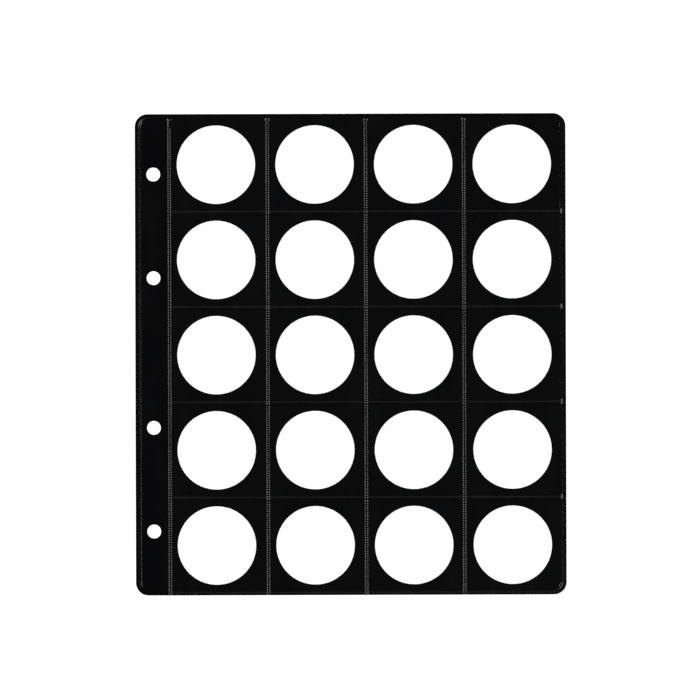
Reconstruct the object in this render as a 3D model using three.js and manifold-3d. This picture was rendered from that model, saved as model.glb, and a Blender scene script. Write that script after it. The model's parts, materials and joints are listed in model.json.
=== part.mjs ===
// A pocket leaf for a ring-bound coin album: a clear back film, a glossy black sheet with round windows,
// and clear front film in rows of pockets that open at their top edges, all welded together.
//
// Units are millimetres. The leaf lies flat, pocket side up: +X points away from the binding, +Y to the top of
// the page and +Z out of the pocket side. The origin is the middle of the page, on its back.

import * as THREE from "three";
import { mergeVertices } from "three/addons/utils/BufferGeometryUtils.js";
import Module from "manifold-3d";

// ---- Driving dimensions ----

// Page outline
const PAGE_WIDTH = 187;
const PAGE_HEIGHT = 209;
const CORNER_RADIUS = 5.5;

// Pocket grid
const COLUMNS = 4;
const ROWS = 5;
const RING_HOLES_TO_SEAM = 7; // from the line of ring holes to the middle of the first seam
const RIM_WIDTH = 1.7; // weld round the outline, where no pocket reaches
const EDGE_TO_ROW_LINE = 1.15; // from the top or bottom edge to the first or last row line

// Films
const BACK_FILM = 0.2;
const WINDOW_SHEET = 0.3;
const FRONT_FILM = 0.2;
const PLY_GAP = 0.05; // air between two plies
const FILM_CLEARANCE = 0.3; // between a pocket's loose film and the welds round it

// Welds
const SEAM_WIDTH = 2;
const ROW_WELD_WIDTH = 2.1;

// Living hinge beside the first seam
const CREASE_GAP = 0.6;

// Windows: punched before the page is welded, so their grid has a pitch and a place of its own
const WINDOW_DIAMETER = 34;
const WINDOW_PITCH_SURPLUS = 0.25; // how much wider than the seam pitch the columns of windows stand
const WINDOW_SHIFT_X = -0.7; // the window grid's middle from the pocket grid's middle
const WINDOW_SHIFT_Y = -0.2;

// Ring holes, four in a line
const RING_HOLE_DIAMETER = 6;
const RING_HOLE_FROM_EDGE = 8;
const RING_SPACING_MIDDLE = 65;
const RING_SPACING_OUTER = 45;
const RING_SHIFT_Y = 0.8; // the hole group's middle from the page's middle

// Roundness of the drawn arcs, in straight steps
const CORNER_STEPS = 10;
const WINDOW_STEPS = 40;
const RING_HOLE_STEPS = 32;

// ---- Places worked out from those ----

const left = -PAGE_WIDTH / 2;
const right = PAGE_WIDTH / 2;
const bottom = -PAGE_HEIGHT / 2;
const top = PAGE_HEIGHT / 2;

const marginWidth = RING_HOLE_FROM_EDGE + RING_HOLES_TO_SEAM;
const columnPitch = (PAGE_WIDTH - marginWidth - RIM_WIDTH) / COLUMNS;
const rowPitch = (PAGE_HEIGHT - 2 * EDGE_TO_ROW_LINE) / ROWS;
const seamX = (column) => left + marginWidth + column * columnPitch;
const rowLineY = (row) => top - EDGE_TO_ROW_LINE - row * rowPitch;

const pocketsStart = seamX(0) - SEAM_WIDTH / 2 - FILM_CLEARANCE;
const marginEnd = pocketsStart - CREASE_GAP;

const windowSheetZ = BACK_FILM + PLY_GAP;
const frontFilmZ = windowSheetZ + WINDOW_SHEET + PLY_GAP;

// Top edge of the film in a row, shared by its pocket fronts and its seam welds. It stays clear of what is welded
// above it: the rim over the first row, and the row weld over any other.
function filmTop(row) {
  const weldAbove = row === 0 ? top - RIM_WIDTH : rowLineY(row) - ROW_WELD_WIDTH / 2;
  return weldAbove - FILM_CLEARANCE;
}

// Top edge of the weld along the bottom of a row.
function rowWeldTop(row) {
  return rowLineY(row + 1) + ROW_WELD_WIDTH / 2;
}

// Bottom edge of that weld. The last row's weld runs to the page's own edge.
function rowWeldBottom(row) {
  return row === ROWS - 1 ? bottom : rowLineY(row + 1) - ROW_WELD_WIDTH / 2;
}

// The welds that stand between the pockets of a row, and the one at the right rim, as [left, right] pairs.
const uprightWelds = [];
for (let column = 0; column < COLUMNS; column++) {
  uprightWelds.push([seamX(column) - SEAM_WIDTH / 2, seamX(column) + SEAM_WIDTH / 2]);
}
uprightWelds.push([right - RIM_WIDTH, right]);

function windowCentre(row, column) {
  const gridMiddleX = (seamX(0) + seamX(COLUMNS)) / 2 + WINDOW_SHIFT_X;
  const fromMiddle = column - (COLUMNS - 1) / 2;
  const x = gridMiddleX + fromMiddle * (columnPitch + WINDOW_PITCH_SURPLUS);
  const y = (rowLineY(row) + rowLineY(row + 1)) / 2 + WINDOW_SHIFT_Y;
  return [x, y];
}

function ringHoleCentres() {
  const x = left + RING_HOLE_FROM_EDGE;
  const inner = RING_SPACING_MIDDLE / 2;
  const outer = inner + RING_SPACING_OUTER;
  return [outer, inner, -inner, -outer].map((y) => [x, y + RING_SHIFT_Y]);
}

// ---- Materials ----

const clearFilm = () =>
  new THREE.MeshStandardMaterial({
    color: 0xf4f6f7,
    roughness: 0.12,
    metalness: 0,
    transparent: true,
    opacity: 0.18,
  });

const blackSheet = () => new THREE.MeshStandardMaterial({ color: 0x101112, roughness: 0.22, metalness: 0 });

// ---- Shapes ----

// A stretch of the page between two X positions, with rounded corners where it reaches the page's own left or
// right edge. An inset draws the same outline further in from the page's edges.
function pageStretch(x0, x1, inset = 0) {
  const radius = CORNER_RADIUS - inset;
  const low = bottom + inset;
  const high = top - inset;
  const start = x0 <= left ? x0 + inset : x0;
  const end = x1 >= right ? x1 - inset : x1;
  const atLeft = x0 <= left ? radius : 0;
  const atRight = x1 >= right ? radius : 0;
  const shape = new THREE.Shape();
  shape.moveTo(start + atLeft, low);
  shape.lineTo(end - atRight, low);
  if (atRight) shape.absarc(end - atRight, low + atRight, atRight, -Math.PI / 2, 0, false);
  shape.lineTo(end, high - atRight);
  if (atRight) shape.absarc(end - atRight, high - atRight, atRight, 0, Math.PI / 2, false);
  shape.lineTo(start + atLeft, high);
  if (atLeft) shape.absarc(start + atLeft, high - atLeft, atLeft, Math.PI / 2, Math.PI, false);
  shape.lineTo(start, low + atLeft);
  if (atLeft) shape.absarc(start + atLeft, low + atLeft, atLeft, Math.PI, 1.5 * Math.PI, false);
  return shape;
}

// A round hole, as a regular polygon.
function roundHole([x, y], diameter, steps) {
  const hole = new THREE.Path();
  for (let i = 0; i < steps; i++) {
    const turn = (-2 * Math.PI * i) / steps;
    const px = x + (diameter / 2) * Math.cos(turn);
    const py = y + (diameter / 2) * Math.sin(turn);
    if (i === 0) hole.moveTo(px, py);
    else hole.lineTo(px, py);
  }
  hole.closePath();
  return hole;
}

function rectangle(x0, x1, y0, y1) {
  return new THREE.Shape([
    new THREE.Vector2(x0, y0),
    new THREE.Vector2(x1, y0),
    new THREE.Vector2(x1, y1),
    new THREE.Vector2(x0, y1),
  ]);
}

// A flat ply of film with its underside at z = 0.
function ply(shape, thickness) {
  return new THREE.ExtrudeGeometry(shape, {
    depth: thickness,
    bevelEnabled: false,
    curveSegments: CORNER_STEPS,
  });
}

// ---- Cutting and trimming ----

const wasm = await Module();
wasm.setup();

function solidOf(geometry) {
  const bare = geometry.clone();
  bare.deleteAttribute("normal");
  bare.deleteAttribute("uv");
  const merged = mergeVertices(bare);
  return new wasm.Manifold(
    new wasm.Mesh({
      numProp: 3,
      vertProperties: merged.attributes.position.array,
      triVerts: new Uint32Array(merged.index.array),
    }),
  );
}

function geometryOf(solid) {
  const made = solid.getMesh();
  const geometry = new THREE.BufferGeometry();
  geometry.setAttribute("position", new THREE.BufferAttribute(made.vertProperties, made.numProp));
  geometry.setIndex(new THREE.BufferAttribute(made.triVerts, 1));
  geometry.computeVertexNormals();
  return geometry;
}

// Front film over the pockets' stretch of the page, its outer edges inset from the page's.
function frontFilmBlank(inset) {
  return solidOf(ply(pageStretch(pocketsStart, right, inset), FRONT_FILM));
}

// The area of front film between the welds of one pocket, kept a clearance away from them. It ends at the height
// given, where the pocket is open, and follows the rim's curve at a corner of the page.
function pocketArea(row, column, clearance, high) {
  const x0 = uprightWelds[column][1] + clearance;
  const x1 = uprightWelds[column + 1][0] - clearance;
  const area = solidOf(ply(rectangle(x0, x1, rowWeldTop(row) + clearance, high), FRONT_FILM));
  return area.intersect(frontFilmBlank(RIM_WIDTH + clearance));
}

// ---- The leaf ----

const leaf = new THREE.Group();

function add(name, geometry, material, z) {
  const mesh = new THREE.Mesh(geometry, material);
  mesh.name = name;
  mesh.position.z = z;
  leaf.add(mesh);
}

function addBackFilm() {
  const margin = pageStretch(left, marginEnd);
  margin.holes = ringHoleCentres().map((centre) => roundHole(centre, RING_HOLE_DIAMETER, RING_HOLE_STEPS));
  add("back_film_margin", ply(margin, BACK_FILM), clearFilm(), 0);
  add("back_film_pockets", ply(pageStretch(pocketsStart, right), BACK_FILM), clearFilm(), 0);
}

function addWindowSheet() {
  const margin = pageStretch(left, marginEnd);
  margin.holes = ringHoleCentres().map((centre) => roundHole(centre, RING_HOLE_DIAMETER, RING_HOLE_STEPS));
  add("window_sheet_margin", ply(margin, WINDOW_SHEET), blackSheet(), windowSheetZ);

  const pockets = pageStretch(pocketsStart, right);
  for (let row = 0; row < ROWS; row++) {
    for (let column = 0; column < COLUMNS; column++) {
      pockets.holes.push(roundHole(windowCentre(row, column), WINDOW_DIAMETER, WINDOW_STEPS));
    }
  }
  add("window_sheet_pockets", ply(pockets, WINDOW_SHEET), blackSheet(), windowSheetZ);
}

// The part of a row's film that is welded down: the weld along its bottom, with the upright welds standing on it.
function addRowStrip(row) {
  const whole = rectangle(uprightWelds[0][0], right, rowWeldBottom(row), filmTop(row));
  let strip = solidOf(ply(whole, FRONT_FILM)).intersect(frontFilmBlank(0));
  for (let column = 0; column < COLUMNS; column++) {
    strip = strip.subtract(pocketArea(row, column, 0, filmTop(row) + FILM_CLEARANCE));
  }
  add(`row_strip_${row + 1}`, geometryOf(strip), clearFilm(), frontFilmZ);
}

// The loose film over one pocket. It hinges at its bottom edge.
function addPocketFront(row, column) {
  const front = pocketArea(row, column, FILM_CLEARANCE, filmTop(row));
  add(`pocket_front_r${row + 1}c${column + 1}`, geometryOf(front), clearFilm(), frontFilmZ);
}

addBackFilm();
addWindowSheet();
for (let row = 0; row < ROWS; row++) {
  addRowStrip(row);
  for (let column = 0; column < COLUMNS; column++) {
    addPocketFront(row, column);
  }
}

export default leaf;
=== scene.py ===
"""The looks of a pocket leaf for a ring-bound coin album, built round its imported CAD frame.

A glossy black sheet with round windows lies between a clear back film and five strips of clear front film.
Ribbed welds divide each strip into four pockets, open at the top. Metres, in the frame's own axes: the leaf
lies flat on the floor, pocket side up, with its binding margin at -X and its top edge at +Y.
"""

import json
import math

import bpy
import numpy as np
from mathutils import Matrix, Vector


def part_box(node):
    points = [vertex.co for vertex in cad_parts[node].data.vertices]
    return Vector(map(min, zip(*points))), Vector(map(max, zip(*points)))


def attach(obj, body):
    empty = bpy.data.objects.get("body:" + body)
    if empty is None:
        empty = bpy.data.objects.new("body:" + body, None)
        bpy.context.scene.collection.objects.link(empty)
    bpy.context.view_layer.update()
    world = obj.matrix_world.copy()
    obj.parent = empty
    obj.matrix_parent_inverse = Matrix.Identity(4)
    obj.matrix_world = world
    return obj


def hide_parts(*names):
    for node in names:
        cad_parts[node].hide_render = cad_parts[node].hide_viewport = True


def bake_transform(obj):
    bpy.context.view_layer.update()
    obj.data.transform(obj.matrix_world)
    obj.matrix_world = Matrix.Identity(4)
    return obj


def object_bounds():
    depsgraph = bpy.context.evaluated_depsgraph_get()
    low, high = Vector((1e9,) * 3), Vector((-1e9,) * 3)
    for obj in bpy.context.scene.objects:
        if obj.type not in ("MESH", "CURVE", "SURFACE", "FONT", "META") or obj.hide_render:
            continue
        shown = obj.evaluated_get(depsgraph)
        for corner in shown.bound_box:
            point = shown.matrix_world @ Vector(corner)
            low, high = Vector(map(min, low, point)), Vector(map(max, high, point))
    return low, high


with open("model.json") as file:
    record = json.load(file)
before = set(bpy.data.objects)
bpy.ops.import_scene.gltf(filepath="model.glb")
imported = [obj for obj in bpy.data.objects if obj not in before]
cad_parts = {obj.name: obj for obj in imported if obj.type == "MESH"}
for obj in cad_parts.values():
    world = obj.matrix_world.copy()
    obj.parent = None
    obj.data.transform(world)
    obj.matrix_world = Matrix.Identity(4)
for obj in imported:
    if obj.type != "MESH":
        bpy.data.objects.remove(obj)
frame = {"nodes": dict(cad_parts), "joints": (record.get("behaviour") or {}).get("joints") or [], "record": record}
cad_low, cad_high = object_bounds()

MM = 0.001

# ---- What the frame doesn't state, in metres ----

ROWS, COLUMNS = 5, 4
FILM_CLEARANCE = 0.3 * MM  # between a pocket's loose film and the welds round it, in the CAD model
JOIN_GAP = 0.01 * MM  # between two meshes that meet edge to edge
SAME_POINT = 0.001 * MM  # mesh points this close together are one point
SHARP_EDGE = math.radians(55)  # faces that meet more steeply than this show an edge

# Grid lines near the page's edges, as distances from the edge: close together where the bead stands
EDGE_LINES = MM * np.array(
    [0, 0.4, 0.8, 1.2, 1.5, 1.6, 1.7, 1.8, 1.9, 2.1, 2.35, 2.4, 2.46, 2.51, 2.57, 2.75, 3, 4, 5, 6]
)
# The closest that grid lines come to each other: on sheets, on strips across their seams, and elsewhere
SHEET_SPACING, STRIP_SPACING, FINEST_SPACING = 0.1 * MM, 0.04 * MM, 0.02 * MM
BLOCK_INSET = 3 * MM  # the round holes' patches of mesh stay this far from the edge
HOLE_BLOCK_RIGHT, HOLE_BLOCK_UP = 1.5, 1.6  # how far they reach from a ring hole's centre, in its radii
STEPS_PER_POCKET = 24
MARGIN_LINES = 6
PATCH_RINGS = 6
FRONT_LINES_ACROSS, FRONT_LINES_UP = 13, 25  # on each half of a pocket's loose film

# The flat bead that the welding tool leaves inside the page's outline
BEAD_OUTER, BEAD_INNER = 1.5 * MM, 2.57 * MM
BEAD_OUTER_FLANK, BEAD_INNER_FLANK = 0.4 * MM, 0.22 * MM
BEAD_HEIGHT = 0.06 * MM  # at the binding edge
RIGHT_LOSS = 0.15  # the share of that by which it is lower at the right edge
CORNER_PRESS = 1.2  # the share by which it is higher round the corners
CORNER_REACH = 1.4  # how far from the page's sides that shows, in corner radii
END_PRESS = 0.1  # the share by which it is higher along the top and bottom edges
END_REACH, END_RISE = 3 * MM, 0.5 * MM  # which starts this far from them and comes in over this length

# Ribbed welds: two rails along a seam, with rungs across them
WELD_STEP = 0.2 * MM
RUNG_PITCH = 1.0 * MM
RUNG_HEIGHT = 0.04 * MM
RUNG_FLAT, RUNG_HALF_WIDTH = 0.2 * MM, 0.4 * MM  # half lengths of a rung's flat top and of its foot
RAIL_OFFSET = 0.5 * MM
RAIL_HALF_WIDTH = 0.2 * MM
RAIL_HEIGHT = 0.085 * MM
RAIL_BETWEEN_RUNGS = 0.2  # a rail's height between two rungs, as a share of its height at a rung
SEAM_HALF_WIDTH = 1.0 * MM
SEAM_FLANK = 0.2 * MM
SEAM_LINES = np.array([0, 0.15, 0.3, 0.35, 0.4, 0.45, 0.5, 0.55, 0.6, 0.65, 0.7, 0.85, 1.0]) * MM
LEAD_IN = 5 * MM  # the first seam starts as a single rail over this length

# The short bar that crosses each seam at the top of the page
BAR_INSET, BAR_HALF_WIDTH, BAR_HEIGHT = 0.5 * MM, 0.45 * MM, 0.135 * MM

# A row's weld: a thin core line with low rungs across it
ROW_CORE_HALF_WIDTH = 0.27 * MM
ROW_CORE_HEIGHT = 0.09 * MM
ROW_RUNG_HEIGHT = 0.025 * MM
ROW_INSET, ROW_FLANK = 0.05 * MM, 0.3 * MM  # its rungs stop this far inside it, with flanks this long
ROW_LINES = np.array([0, 0.05, 0.1, 0.14, 0.18, 0.22, 0.27, 0.4]) * MM

# The raised stub at the right end of a row's weld
STUB_INSET, STUB_HALF_WIDTH, STUB_HEIGHT = 2.0 * MM, 0.34 * MM, 0.125 * MM
STUB_FLANK = 0.15 * MM
STUB_LINES = np.linspace(-1, 1, 11) * STUB_HALF_WIDTH

# How a weld's press wanders along it: middle, swing, and waves as (share, radians a metre, phase step)
PRESS_MIDDLE, PRESS_SWING = 0.9, 0.06
PRESS_WAVES = [(1, 90, 2.1), (0.6, 233, 4.7)]
COLUMN_PHASE, ROW_PHASE = 3, 5  # phase steps from seam to seam and from row to row
CORE_PHASE, RUNG_PHASE = 7, 11  # and where those of the rows' core lines and rungs start

# Living hinge
CREASE_HALF_LENGTH = 0.6 * MM
CREASE_STEPS = 10

# How far the leaf and its films stand off dead flat
SAG_HEIGHT = 0.12 * MM
SAG_X, SAG_X_PHASE = 38, 0.7  # the leaf's broad wave, in radians a metre and radians
SAG_Y, SAG_Y_PHASE = 31, 1.9
SLANT_X, SLANT_Y, SLANT_SHARE = 71, 44, 0.5  # and the lower one that runs aslant through it
MOUTH_CROWN = 0.25 * MM

# Materials
VINYL_IOR, FILM_IOR = 1.5, 1.54
NOISE_LOW, NOISE_HIGH = 0.3, 0.7  # most of a noise texture's values lie between these

# Area lights as (name, place, size, power), each facing the middle of the leaf
LIGHTS = [
    ("softbox_left", (-0.9, 0.3, 1.0), (1.6, 0.55), 22),
    ("softbox_right", (0.9, -0.3, 1.0), (1.6, 0.55), 22),
    ("fill_top", (0, 0.95, 1.0), (1.1, 0.55), 1.2),
    ("fill_bottom", (0, -0.95, 1.0), (1.1, 0.55), 0.7),
]
# The room's grey level, as (height of the direction, level): 0 is eye level and 1 is overhead
ROOM_LEVELS = [(0.0, 0.9), (0.06, 0.6), (0.16, 0.3), (0.3, 0.14), (0.45, 0.075), (0.8, 0.022)]
FLOOR_REACH = 12
FLOOR_DROP = 0.05 * MM  # the floor lies this far under the leaf, so that the two never share a plane
FLOOR_GREY, FLOOR_GLOW = 0.25, 0.95  # its glow makes it white, and it still takes a faint shadow

# Camera: looks straight down at the leaf, a little above its middle
LENS_MM, SENSOR_MM = 200, 36
FRAME_WIDTH = 303.9 * MM  # how much of the leaf's plane the square frame spans
AIM_SHIFT = Vector((-0.29 * MM, 1.87 * MM, 0))
ROLL = math.radians(-0.165)
CLIP_NEAR, CLIP_FAR = 0.01, 100


# ---- Places taken from the frame ----

PAGE_LOW, PAGE_HIGH = cad_low, cad_high
SHEET_LOW, SHEET_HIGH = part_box("window_sheet_pockets")
SHEET_POINTS = [v.co for v in frame["nodes"]["window_sheet_pockets"].data.vertices]
RIGHT_EDGE_TOP = max(point.y for point in SHEET_POINTS if point.x > PAGE_HIGH.x - JOIN_GAP)
CORNER_RADIUS = PAGE_HIGH.y - RIGHT_EDGE_TOP
BACK_LOW, BACK_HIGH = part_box("back_film_pockets")
STRIPS = [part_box(f"row_strip_{r + 1}") for r in range(ROWS)]
FRONTS = [[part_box(f"pocket_front_r{r + 1}c{c + 1}") for c in range(COLUMNS)] for r in range(ROWS)]
CREASE_X = next(j for j in frame["joints"] if j["name"] == "margin_crease")["pos_m"][0]

# Weld edges as [left, right] pairs: the four seams of a row and the rim at its right
UPRIGHTS = []
for c in range(COLUMNS):
    before = STRIPS[0][0].x if c == 0 else FRONTS[1][c - 1][1].x + FILM_CLEARANCE
    UPRIGHTS.append((before, FRONTS[1][c][0].x - FILM_CLEARANCE))
UPRIGHTS.append((FRONTS[1][COLUMNS - 1][1].x + FILM_CLEARANCE, PAGE_HIGH.x))
SEAM_X = [(a + b) / 2 for a, b in UPRIGHTS[:COLUMNS]]

# A row's weld runs along its bottom, between these heights, and its core line lies in the middle. The last
# row's weld is the page's bottom rim, where the line lies as far below the weld's top as in the other rows.
WELD_TOP = [FRONTS[r][0][0].y - FILM_CLEARANCE for r in range(ROWS)]
WELD_BOTTOM = [STRIPS[r][0].y for r in range(ROWS)]
ROW_LINE = [(a + b) / 2 for a, b in zip(WELD_TOP[:-1], WELD_BOTTOM[:-1])]
ROW_LINE.append(WELD_TOP[-1] - (WELD_TOP[0] - ROW_LINE[0]))


def hole_in(node, x0, x1, y0, y1):
    """Centre and radius of the one round hole that a CAD node has inside a rectangle."""
    rim = [v.co for v in frame["nodes"][node].data.vertices if x0 < v.co.x < x1 and y0 < v.co.y < y1]
    across = [min(v.x for v in rim), max(v.x for v in rim)]
    up = [min(v.y for v in rim), max(v.y for v in rim)]
    return (sum(across) / 2, sum(up) / 2), (across[1] - across[0]) / 2


def window(r, c):
    """Centre and radius of the window behind a pocket's loose film."""
    low, high = FRONTS[r][c]
    return hole_in("window_sheet_pockets", low.x, high.x, low.y, high.y)


def ring_holes():
    """Centre and radius of each ring hole."""
    found = []
    for opening in frame["record"]["physics"]["openings"]:
        low, high = opening["box_m"]
        x, y = (low[0] + high[0]) / 2, (low[1] + high[1]) / 2
        reach = high[0] - low[0]
        found.append(hole_in("window_sheet_margin", x - reach, x + reach, y - reach, y + reach))
    return found


# ---- Heights ----


def lie(x, y):
    """How far the whole leaf stands off dead flat. It is never below the floor."""
    broad = np.sin(SAG_X * x + SAG_X_PHASE) * np.sin(SAG_Y * y + SAG_Y_PHASE)
    wave = broad + SLANT_SHARE * np.sin(SLANT_X * x - SLANT_Y * y)
    most = 1 + SLANT_SHARE
    return SAG_HEIGHT * (most + wave) / (2 * most)


def edge_distance(x, y):
    """How far a point is inside the page's rounded outline."""
    middle = (PAGE_LOW + PAGE_HIGH) / 2
    half = (PAGE_HIGH - PAGE_LOW) / 2
    qx = np.abs(x - middle.x) - (half.x - CORNER_RADIUS)
    qy = np.abs(y - middle.y) - (half.y - CORNER_RADIUS)
    outside = np.hypot(np.maximum(qx, 0), np.maximum(qy, 0))
    return CORNER_RADIUS - outside - np.minimum(np.maximum(qx, qy), 0)


def bump(distance, half_width):
    """A smooth ridge: 1 on its line, 0 from half_width away."""
    near = np.clip(np.abs(distance) / half_width, 0, 1)
    return np.cos(near * math.pi / 2) ** 2


def tent(distance, half_width):
    """A ridge with straight flanks: 1 on its line, 0 from half_width away."""
    return np.clip(1 - np.abs(distance) / half_width, 0, 1)


def ramp(value, start, length):
    """Smooth rise from 0 at start to 1 a length further on."""
    share = np.clip((value - start) / length, 0, 1)
    return share * share * (3 - 2 * share)


def bead(x, y):
    """Height of the bead. It stands highest along the binding edge and round the corners."""
    inset = edge_distance(x, y)
    profile = ramp(inset, BEAD_OUTER, BEAD_OUTER_FLANK) * ramp(-inset, -BEAD_INNER, BEAD_INNER_FLANK)
    from_binding = (x - PAGE_LOW.x) / (PAGE_HIGH.x - PAGE_LOW.x)
    middle = (PAGE_LOW + PAGE_HIGH) / 2
    half = (PAGE_HIGH - PAGE_LOW) / 2
    out_x, out_y = np.abs(x - middle.x), np.abs(y - middle.y)
    reach = CORNER_REACH * CORNER_RADIUS
    near_corner = ramp(out_x, half.x - reach, reach) * ramp(out_y, half.y - reach, reach)
    near_end = ramp(out_y, half.y - END_REACH, END_RISE)
    press = 1 - RIGHT_LOSS * from_binding + CORNER_PRESS * near_corner + END_PRESS * near_end
    return BEAD_HEIGHT * profile * press


def lie_on_sheet(x, y):
    """How far the black sheet's face stands off dead flat, bead and all, with the films that lie on it."""
    return lie(x, y) + bead(x, y)


def rungs(along):
    """Flat-topped ridges across a weld, one every pitch: 1 on top, 0 between them."""
    from_rung = (along / RUNG_PITCH + 0.5) % 1 - 0.5
    return ramp(-np.abs(from_rung) * RUNG_PITCH, -RUNG_HALF_WIDTH, RUNG_HALF_WIDTH - RUNG_FLAT)


# ---- Meshes ----


def lines(*groups, least=FINEST_SPACING):
    """Sorted grid lines, without any that lie closer than least to the one before."""
    every = np.sort(np.concatenate([np.atleast_1d(g).astype(float) for g in groups]))
    kept = [every[0]]
    for value in every[1:]:
        if value - kept[-1] > least:
            kept.append(value)
    return np.array(kept)


def rounded(points):
    """Draws the squares at the page's corners in to quarter discs, and leaves everything else where it is."""
    middle = np.array((PAGE_LOW + PAGE_HIGH) / 2)[:2]
    inner = np.array((PAGE_HIGH - PAGE_LOW) / 2)[:2] - CORNER_RADIUS
    from_middle = points - middle
    over = np.abs(from_middle) - inner
    in_corner = (over > 0).all(1)
    length = np.hypot(over[:, 0], over[:, 1])
    scale = np.where(in_corner, over.max(1) / np.where(length > 0, length, 1), 1)
    drawn = np.sign(from_middle) * (inner + over * scale[:, None]) + middle
    return np.where(in_corner[:, None], drawn, points)


def cells(xs, ys, keep):
    """Points and faces of the grid cells that keep says, each face anticlockwise from above."""
    columns, rows = len(xs), len(ys)
    gx, gy = np.meshgrid(xs, ys)
    mx, my = np.meshgrid((xs[1:] + xs[:-1]) / 2, (ys[1:] + ys[:-1]) / 2)
    j, i = np.nonzero(keep(mx, my))
    corner = j * columns + i
    faces = np.stack([corner, corner + 1, corner + 1 + columns, corner + columns], 1)
    used, faces = np.unique(faces, return_inverse=True)
    points = np.stack([gx.ravel(), gy.ravel()], 1)[used]
    return points, faces.reshape(-1, 4)


def patch(xs, ys, centre, radius):
    """Points and faces between a round hole and the block of grid lines round it."""
    around = np.array(
        [(x, ys[0]) for x in xs[:-1]]
        + [(xs[-1], y) for y in ys[:-1]]
        + [(x, ys[-1]) for x in xs[:0:-1]]
        + [(xs[0], y) for y in ys[:0:-1]]
    )
    outward = around - np.array(centre)
    circle = np.array(centre) + outward * (radius / np.hypot(*outward.T))[:, None]
    share = np.linspace(0, 1, PATCH_RINGS + 1)[:, None, None]
    points = (circle + (around - circle) * share).reshape(-1, 2)
    count = len(around)
    ring, spoke = np.meshgrid(np.arange(PATCH_RINGS), np.arange(count), indexing="ij")
    a = (ring * count + spoke).ravel()
    b = (ring * count + (spoke + 1) % count).ravel()
    return points, np.stack([a, a + count, b + count, b], 1)


def merged(parts):
    """Joins patches of points and faces, with points that coincide made one."""
    starts = np.cumsum([0] + [len(points) for points, _ in parts[:-1]])
    points = np.concatenate([points for points, _ in parts])
    faces = np.concatenate([faces + start for (_, faces), start in zip(parts, starts)])
    _, first, inverse = np.unique(
        np.round(points / SAME_POINT), axis=0, return_index=True, return_inverse=True
    )
    return points[first], inverse.reshape(-1)[faces]


def solid(name, points, faces, low, high, material, open_at_x=None):
    """A body between two height fields. It has a wall along every edge but those at open_at_x, where a twin
    meets it."""
    points = rounded(points)
    x, y = points.T
    count = len(points)
    verts = np.concatenate([np.stack([x, y, high(x, y)], 1), np.stack([x, y, low(x, y)], 1)])
    edges = np.concatenate([faces[:, [k, (k + 1) % 4]] for k in range(4)])
    forward = edges[:, 0] * count + edges[:, 1]
    backward = edges[:, 1] * count + edges[:, 0]
    open_edges = edges[~np.isin(forward, backward)]
    if open_at_x is not None:
        open_edges = open_edges[(np.abs(x[open_edges] - open_at_x) > JOIN_GAP).any(1)]
    a, b = open_edges.T
    walls = np.stack([a + count, b + count, b, a], 1)
    every = np.concatenate([faces, faces[:, ::-1] + count, walls])
    mesh = bpy.data.meshes.new(name)
    mesh.from_pydata(verts.tolist(), [], every.tolist())
    mesh.polygons.foreach_set("use_smooth", np.ones(len(every), bool))
    mesh.set_sharp_from_angle(angle=SHARP_EDGE)
    mesh.materials.append(material)
    piece = bpy.data.objects.new(name, mesh)
    bpy.context.scene.collection.objects.link(piece)
    return piece


# ---- Materials ----


def node_material(name):
    """A new material with nothing in its tree but an output."""
    material = bpy.data.materials.new(name)
    material.use_nodes = True
    tree = material.node_tree
    tree.nodes.clear()
    output = tree.nodes.new("ShaderNodeOutputMaterial")
    return material, tree, output


def noise(tree, coordinates, scale, detail, stretch=(1, 1, 1)):
    """Noise in a piece's own metres: scale is in features a metre."""
    mapping = tree.nodes.new("ShaderNodeMapping")
    mapping.inputs["Scale"].default_value = stretch
    tree.links.new(coordinates.outputs["Object"], mapping.inputs["Vector"])
    texture = tree.nodes.new("ShaderNodeTexNoise")
    texture.inputs["Scale"].default_value = scale
    texture.inputs["Detail"].default_value = detail
    tree.links.new(mapping.outputs["Vector"], texture.inputs["Vector"])
    return texture.outputs["Fac"]


def spread(tree, value, low, high):
    """The middle of a noise's range, spread from low to high."""
    ranged = tree.nodes.new("ShaderNodeMapRange")
    ranged.inputs["From Min"].default_value = NOISE_LOW
    ranged.inputs["From Max"].default_value = NOISE_HIGH
    ranged.inputs["To Min"].default_value = low
    ranged.inputs["To Max"].default_value = high
    tree.links.new(value, ranged.inputs["Value"])
    return ranged.outputs["Result"]


def bumped(tree, height, distance, normal=None):
    """A normal bent by a height times distance, on top of another normal where one is given."""
    node = tree.nodes.new("ShaderNodeBump")
    node.inputs["Strength"].default_value = 1
    node.inputs["Distance"].default_value = distance
    tree.links.new(height, node.inputs["Height"])
    if normal is not None:
        tree.links.new(normal, node.inputs["Normal"])
    return node.outputs["Normal"]


def black_gloss(name, tone_scale, dark, light):
    """A black gloss whose tone drifts between two colours. Its roughness and normal are left to set."""
    material, tree, output = node_material(name)
    coordinates = tree.nodes.new("ShaderNodeTexCoord")
    shader = tree.nodes.new("ShaderNodeBsdfPrincipled")
    shader.inputs["IOR"].default_value = VINYL_IOR
    tone = tree.nodes.new("ShaderNodeValToRGB")
    tone.color_ramp.elements[0].color = (*dark, 1)
    tone.color_ramp.elements[1].color = (*light, 1)
    cloud = noise(tree, coordinates, scale=tone_scale, detail=3)
    tree.links.new(spread(tree, cloud, low=0, high=1), tone.inputs["Fac"])
    tree.links.new(tone.outputs["Color"], shader.inputs["Base Color"])
    tree.links.new(shader.outputs["BSDF"], output.inputs["Surface"])
    return material, tree, coordinates, shader


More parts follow.
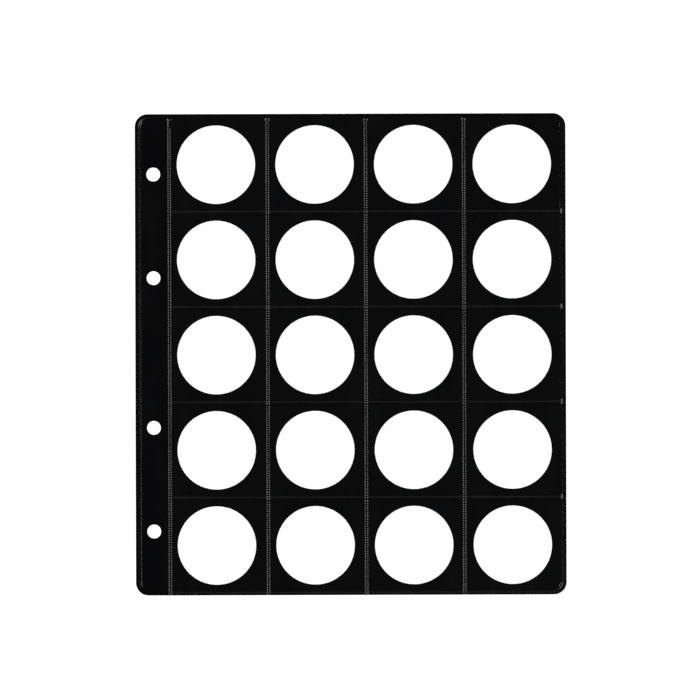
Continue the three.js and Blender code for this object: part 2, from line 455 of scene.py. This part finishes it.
def black_sheet():
    """Calendered black vinyl: a smooth gloss with a fine pebble in it and faint handling marks."""
    material, tree, coordinates, shader = black_gloss(
        "black_vinyl", tone_scale=25, dark=(0.0007, 0.0008, 0.0011), light=(0.0011, 0.0012, 0.0014)
    )
    marks = noise(tree, coordinates, scale=120, detail=6, stretch=(1, 0.25, 1))
    tree.links.new(spread(tree, marks, low=0.13, high=0.19), shader.inputs["Roughness"])
    broad = bumped(tree, noise(tree, coordinates, scale=60, detail=2), distance=0.03 * MM)
    pebble = noise(tree, coordinates, scale=2200, detail=2)
    fine = bumped(tree, pebble, distance=0.001 * MM, normal=broad)
    tree.links.new(fine, shader.inputs["Normal"])
    return material


def welded_film():
    """Clear vinyl fused to the black sheet: black right up to the gloss of its upper face, which the welding
    tool has dulled."""
    material, tree, coordinates, shader = black_gloss(
        "welded_vinyl", tone_scale=40, dark=(0.0008, 0.0009, 0.0012), light=(0.0016, 0.0017, 0.0018)
    )
    dulled = noise(tree, coordinates, scale=350, detail=4)
    tree.links.new(spread(tree, dulled, low=0.15, high=0.22), shader.inputs["Roughness"])
    grain = bumped(tree, noise(tree, coordinates, scale=1500, detail=3), distance=0.004 * MM)
    tree.links.new(grain, shader.inputs["Normal"])
    return material


def clear_film():
    """Clear vinyl film. Light goes straight through it, and its outer face mirrors a share of it that grows
    with the slant."""
    material, tree, output = node_material("clear_vinyl")
    coordinates = tree.nodes.new("ShaderNodeTexCoord")
    through = tree.nodes.new("ShaderNodeBsdfTransparent")
    through.inputs["Color"].default_value = (0.995, 0.998, 0.998, 1)
    skin = tree.nodes.new("ShaderNodeBsdfPrincipled")
    skin.inputs["Base Color"].default_value = (1, 1, 1, 1)
    skin.inputs["Metallic"].default_value = 1
    scuffs = noise(tree, coordinates, scale=300, detail=5, stretch=(1, 0.3, 1))
    tree.links.new(spread(tree, scuffs, low=0.05, high=0.11), skin.inputs["Roughness"])
    broad = bumped(tree, noise(tree, coordinates, scale=45, detail=2), distance=0.04 * MM)
    tree.links.new(broad, skin.inputs["Normal"])
    share = tree.nodes.new("ShaderNodeFresnel")
    share.inputs["IOR"].default_value = FILM_IOR
    side = tree.nodes.new("ShaderNodeNewGeometry")
    outer = tree.nodes.new("ShaderNodeMath")
    outer.operation = "SUBTRACT"
    outer.use_clamp = True
    tree.links.new(share.outputs["Fac"], outer.inputs[0])
    tree.links.new(side.outputs["Backfacing"], outer.inputs[1])
    mix = tree.nodes.new("ShaderNodeMixShader")
    tree.links.new(outer.outputs["Value"], mix.inputs["Fac"])
    tree.links.new(through.outputs["BSDF"], mix.inputs[1])
    tree.links.new(skin.outputs["BSDF"], mix.inputs[2])
    tree.links.new(mix.outputs["Shader"], output.inputs["Surface"])
    return material


BLACK = black_sheet()
WELDED = welded_film()
CLEAR = clear_film()


# ---- Sheets that cross the crease ----


def page_lines():
    """Grid lines of the sheets that reach over the whole page."""
    column_steps = [
        np.linspace(a, b, STEPS_PER_POCKET + 1)
        for a, b in zip(SEAM_X, SEAM_X[1:] + [PAGE_HIGH.x - BLOCK_INSET])
    ]
    row_ends = [PAGE_HIGH.y - BLOCK_INSET] + ROW_LINE[:-1] + [PAGE_LOW.y + BLOCK_INSET]
    row_steps = [np.linspace(a, b, STEPS_PER_POCKET + 1) for a, b in zip(row_ends[1:], row_ends[:-1])]
    crease = np.linspace(CREASE_X - CREASE_HALF_LENGTH, CREASE_X + CREASE_HALF_LENGTH, CREASE_STEPS + 1)
    (hole_x, _), hole_radius = ring_holes()[0]
    margin_end = hole_x + HOLE_BLOCK_RIGHT * hole_radius
    margin = np.linspace(PAGE_LOW.x + EDGE_LINES[-1], margin_end, MARGIN_LINES)
    xs = lines(PAGE_LOW.x + EDGE_LINES, margin, crease, *column_steps, PAGE_HIGH.x - EDGE_LINES)
    ys = lines(PAGE_LOW.y + EDGE_LINES, *row_steps, PAGE_HIGH.y - EDGE_LINES, least=SHEET_SPACING)
    return xs, ys


def snapped(values, low, high):
    """The grid lines from the one nearest low to the one nearest high."""
    first = int(np.abs(values - low).argmin())
    last = int(np.abs(values - high).argmin())
    return values[first : last + 1]


def page_sheet(name, windows, low, high, material):
    """A sheet over the whole page, with the ring holes, and with windows given as (row, column, centre,
    radius). Each hole has a block of the grid to itself, which a patch of mesh fills round the hole."""
    xs, ys = page_lines()
    blocks = []
    for (cx, cy), radius in ring_holes():
        x_lines = snapped(xs, PAGE_LOW.x + BLOCK_INSET, cx + HOLE_BLOCK_RIGHT * radius)
        y_lines = snapped(ys, cy - HOLE_BLOCK_UP * radius, cy + HOLE_BLOCK_UP * radius)
        blocks.append((x_lines, y_lines, (cx, cy), radius))
    for r, c, centre, radius in windows:
        x_end = SEAM_X[c + 1] if c + 1 < COLUMNS else PAGE_HIGH.x - BLOCK_INSET
        y_end = ROW_LINE[r - 1] if r else PAGE_HIGH.y - BLOCK_INSET
        y_start = ROW_LINE[r] if r + 1 < ROWS else PAGE_LOW.y + BLOCK_INSET
        blocks.append((snapped(xs, SEAM_X[c], x_end), snapped(ys, y_start, y_end), centre, radius))

    def outside_blocks(x, y):
        kept = np.ones(x.shape, bool)
        for bx, by, _, _ in blocks:
            kept &= ~((x > bx[0]) & (x < bx[-1]) & (y > by[0]) & (y < by[-1]))
        return kept

    parts = [cells(xs, ys, outside_blocks)] + [patch(*block) for block in blocks]
    sheet = solid(name, *merged(parts), low, high, material)
    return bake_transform(sheet)


def add_black_sheet():
    windows = [(r, c, *window(r, c)) for r in range(ROWS) for c in range(COLUMNS)]
    sheet = page_sheet(
        "window_sheet",
        windows,
        lambda x, y: SHEET_LOW.z + lie(x, y),
        lambda x, y: SHEET_HIGH.z + lie_on_sheet(x, y),
        BLACK,
    )
    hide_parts("window_sheet_margin", "window_sheet_pockets")


def add_back_film():
    film = page_sheet(
        "back_film",
        [],
        lambda x, y: BACK_LOW.z + lie(x, y),
        lambda x, y: BACK_HIGH.z + lie(x, y),
        CLEAR,
    )
    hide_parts("back_film_margin", "back_film_pockets")


# ---- Front film ----


def drift(along, phase):
    """How strongly a weld is pressed: it wanders along its length."""
    slow = sum(share * np.sin(along * rate + phase * step) for share, rate, step in PRESS_WAVES)
    return PRESS_MIDDLE + PRESS_SWING * slow


def seam_ribs(x, y, r):
    """Height of the ladder of rails and rungs along the seams of a row. The rails swell at every rung."""
    height = np.zeros_like(x)
    low, high = STRIPS[r]
    for c, seam in enumerate(SEAM_X):
        across = x - seam
        phase = COLUMN_PHASE * c + ROW_PHASE * r
        rung = rungs(y - low.y + WELD_STEP * phase)
        ends = ramp(-np.abs(across), -SEAM_HALF_WIDTH, SEAM_FLANK)
        lead = ramp(-y, -high.y, LEAD_IN) ** 2 if r == 0 and c == 0 else np.ones_like(y)
        swell = RAIL_BETWEEN_RUNGS + (1 - RAIL_BETWEEN_RUNGS) * rung
        left = tent(across + RAIL_OFFSET, RAIL_HALF_WIDTH) * drift(y, phase) * (1 - lead + lead * swell)
        right = tent(across - RAIL_OFFSET, RAIL_HALF_WIDTH) * drift(y, phase + 1) * lead * swell
        height += RAIL_HEIGHT * np.maximum(left, right) + RUNG_HEIGHT * rung * ends * lead
        if r == 0:
            height += ends * bump(y - high.y + BAR_INSET, BAR_HALF_WIDTH) * BAR_HEIGHT
    return height


def row_ribs(x, y, r):
    """Height of the core line and the rungs along a row's weld, and of the stub at its right end."""
    across = y - ROW_LINE[r]
    half = (WELD_TOP[r] - ROW_LINE[r]) - ROW_INSET
    ends = ramp(-np.abs(across), -half, ROW_FLANK)
    from_seam = x[..., None] - np.array(SEAM_X)
    along = np.where(from_seam > 0, from_seam, np.inf).min(-1)
    along = np.where(np.isfinite(along), along, 0)
    rung = rungs(along) * ends * ROW_RUNG_HEIGHT * drift(x, r + RUNG_PHASE)
    core = bump(across, ROW_CORE_HALF_WIDTH) * ROW_CORE_HEIGHT * drift(x, r + CORE_PHASE)
    stub_ends = ramp(-np.abs(across), -half, STUB_FLANK)
    stub = bump(x - PAGE_HIGH.x + STUB_INSET, STUB_HALF_WIDTH) * stub_ends * STUB_HEIGHT
    return np.maximum(np.maximum(rung, core), stub)


def add_row_strip(r):
    """The welded part of a row's film: its bottom weld with the seams and the right rim standing on it."""
    low, high = STRIPS[r]
    seam_lines = [x + side * SEAM_LINES for x in SEAM_X for side in (-1, 1)]
    rim = PAGE_HIGH.x - EDGE_LINES[EDGE_LINES <= PAGE_HIGH.x - UPRIGHTS[-1][0]]
    plain = [np.arange(a + WELD_STEP, b, WELD_STEP) for (_, a), (b, _) in zip(UPRIGHTS[:-1], UPRIGHTS[1:])]
    edges = [edge for pair in UPRIGHTS for edge in pair]
    stub = PAGE_HIGH.x - STUB_INSET + STUB_LINES
    xs = lines(edges, *seam_lines, rim, stub, *plain, least=STRIP_SPACING)
    row_lines = [ROW_LINE[r] + side * ROW_LINES for side in (-1, 1)]
    plain_below = np.arange(low.y, WELD_TOP[r] - WELD_STEP / 2, WELD_STEP)
    clear_of_core = plain_below[np.abs(plain_below - ROW_LINE[r]) > ROW_LINES[-1]]
    ys = lines(clear_of_core, *row_lines, np.arange(WELD_TOP[r], high.y, WELD_STEP), high.y)

    def welded(x, y):
        kept = y < WELD_TOP[r]
        for a, b in UPRIGHTS:
            kept |= (x > a) & (x < b)
        return kept

    def bottom(x, y):
        return low.z + lie_on_sheet(x, y)

    def top(x, y):
        return high.z + lie_on_sheet(x, y) + np.maximum(seam_ribs(x, y, r), row_ribs(x, y, r))

    strip = solid(f"row_{r + 1}_welds", *cells(xs, ys, welded), bottom, top, WELDED)
    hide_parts(f"row_strip_{r + 1}")
    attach(strip, "pocket_leaf")


def add_pocket_front(r, c):
    """A pocket's loose film, in two halves that bow off the sheet together from seams that stay down."""
    low, high = FRONTS[r][c]
    x0, x1 = UPRIGHTS[c][1] + JOIN_GAP, UPRIGHTS[c + 1][0] - JOIN_GAP
    y0 = WELD_TOP[r] + JOIN_GAP
    middle = (x0 + x1) / 2

    def crown(x, y):
        """How far the film bows off the sheet: most in the middle of the mouth."""
        across = np.cos((x - middle) / (x1 - x0) * math.pi) ** 2
        up = (y - y0) / (high.y - y0)
        return MOUTH_CROWN * across * up * up

    rim_y = np.concatenate([PAGE_HIGH.y - EDGE_LINES, PAGE_LOW.y + EDGE_LINES])
    rim_y = rim_y[(rim_y > y0) & (rim_y < high.y)]
    ys = lines(np.linspace(y0, high.y, FRONT_LINES_UP), rim_y, least=SHEET_SPACING)
    halves = {"left": (x0, middle, x0), "right": (middle, x1, x1)}
    for side, (a, b, seam) in halves.items():
        rim_x = PAGE_HIGH.x - EDGE_LINES
        rim_x = rim_x[(rim_x > a) & (rim_x < b)]
        xs = lines(np.linspace(a, b, FRONT_LINES_ACROSS), rim_x, least=SHEET_SPACING)
        half = solid(
            f"pocket_front_r{r + 1}c{c + 1}_{side}",
            *cells(xs, ys, lambda x, y: np.ones(x.shape, bool)),
            lambda x, y: low.z + lie_on_sheet(x, y) + crown(x, y),
            lambda x, y: high.z + lie_on_sheet(x, y) + crown(x, y),
            CLEAR,
            open_at_x=middle,
        )
        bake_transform(half)
        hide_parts(f"pocket_front_r{r + 1}c{c + 1}")


# ---- Studio ----


def add_floor():
    """A white table top."""
    mesh = bpy.data.meshes.new("floor")
    signs = [(-1, -1), (1, -1), (1, 1), (-1, 1)]
    corners = [(i * FLOOR_REACH, j * FLOOR_REACH, -FLOOR_DROP) for i, j in signs]
    mesh.from_pydata(corners, [], [(0, 1, 2, 3)])
    material, tree, output = node_material("white_table")
    shader = tree.nodes.new("ShaderNodeBsdfPrincipled")
    shader.inputs["Roughness"].default_value = 0.9
    shader.inputs["Specular IOR Level"].default_value = 0.1
    shader.inputs["Base Color"].default_value = (FLOOR_GREY, FLOOR_GREY, FLOOR_GREY, 1)
    shader.inputs["Emission Color"].default_value = (1, 1, 1, 1)
    shader.inputs["Emission Strength"].default_value = FLOOR_GLOW
    tree.links.new(shader.outputs["BSDF"], output.inputs["Surface"])
    mesh.materials.append(material)
    floor = bpy.data.objects.new("floor", mesh)
    bpy.context.scene.collection.objects.link(floor)


def add_light(name, place, size, power):
    """An area light that faces the middle of the leaf and isn't seen itself."""
    data = bpy.data.lights.new(name, "AREA")
    data.shape = "RECTANGLE"
    data.size, data.size_y = size
    data.energy = power
    light = bpy.data.objects.new(name, data)
    light.location = place
    light.rotation_mode = "QUATERNION"
    light.rotation_quaternion = (-Vector(place)).to_track_quat("-Z", "Y")
    light.visible_camera = False
    bpy.context.scene.collection.objects.link(light)


def add_studio():
    """The lights, in a room that is pale at eye level and dark overhead."""
    for light in LIGHTS:
        add_light(*light)
    world = bpy.data.worlds.new("studio")
    bpy.context.scene.world = world
    world.use_nodes = True
    tree = world.node_tree
    tree.nodes.clear()
    coordinates = tree.nodes.new("ShaderNodeTexCoord")
    parts = tree.nodes.new("ShaderNodeSeparateXYZ")
    tree.links.new(coordinates.outputs["Generated"], parts.inputs["Vector"])
    levels = tree.nodes.new("ShaderNodeValToRGB")
    levels.color_ramp.interpolation = "EASE"
    levels.color_ramp.elements[0].position = ROOM_LEVELS[0][0]
    levels.color_ramp.elements[1].position = ROOM_LEVELS[-1][0]
    for position, _ in ROOM_LEVELS[1:-1]:
        levels.color_ramp.elements.new(position)
    for element, (_, level) in zip(levels.color_ramp.elements, ROOM_LEVELS):
        element.color = (level, level, level, 1)
    tree.links.new(parts.outputs["Z"], levels.inputs["Fac"])
    background = tree.nodes.new("ShaderNodeBackground")
    tree.links.new(levels.outputs["Color"], background.inputs["Color"])
    output = tree.nodes.new("ShaderNodeOutputWorld")
    tree.links.new(background.outputs["Background"], output.inputs["Surface"])
    bpy.context.scene.view_settings.view_transform = "Standard"
    bpy.context.scene.cycles.use_denoising = False  # the denoiser wipes out the welds' dots


def add_camera():
    """A long lens straight over the leaf, rolled very slightly."""
    data = bpy.data.cameras.new("camera")
    data.lens = LENS_MM
    data.sensor_width = SENSOR_MM
    data.clip_start, data.clip_end = CLIP_NEAR, CLIP_FAR
    camera = bpy.data.objects.new("camera", data)
    distance = FRAME_WIDTH * LENS_MM / SENSOR_MM
    middle = (PAGE_LOW + PAGE_HIGH) / 2
    camera.location = Vector((middle.x, middle.y, PAGE_HIGH.z + distance)) + AIM_SHIFT
    camera.rotation_euler = (0, 0, ROLL)
    bpy.context.scene.collection.objects.link(camera)
    bpy.context.scene.camera = camera


add_camera()
add_studio()
add_floor()
add_black_sheet()
add_back_film()
for r in range(ROWS):
    add_row_strip(r)
    for c in range(COLUMNS):
        add_pocket_front(r, c)
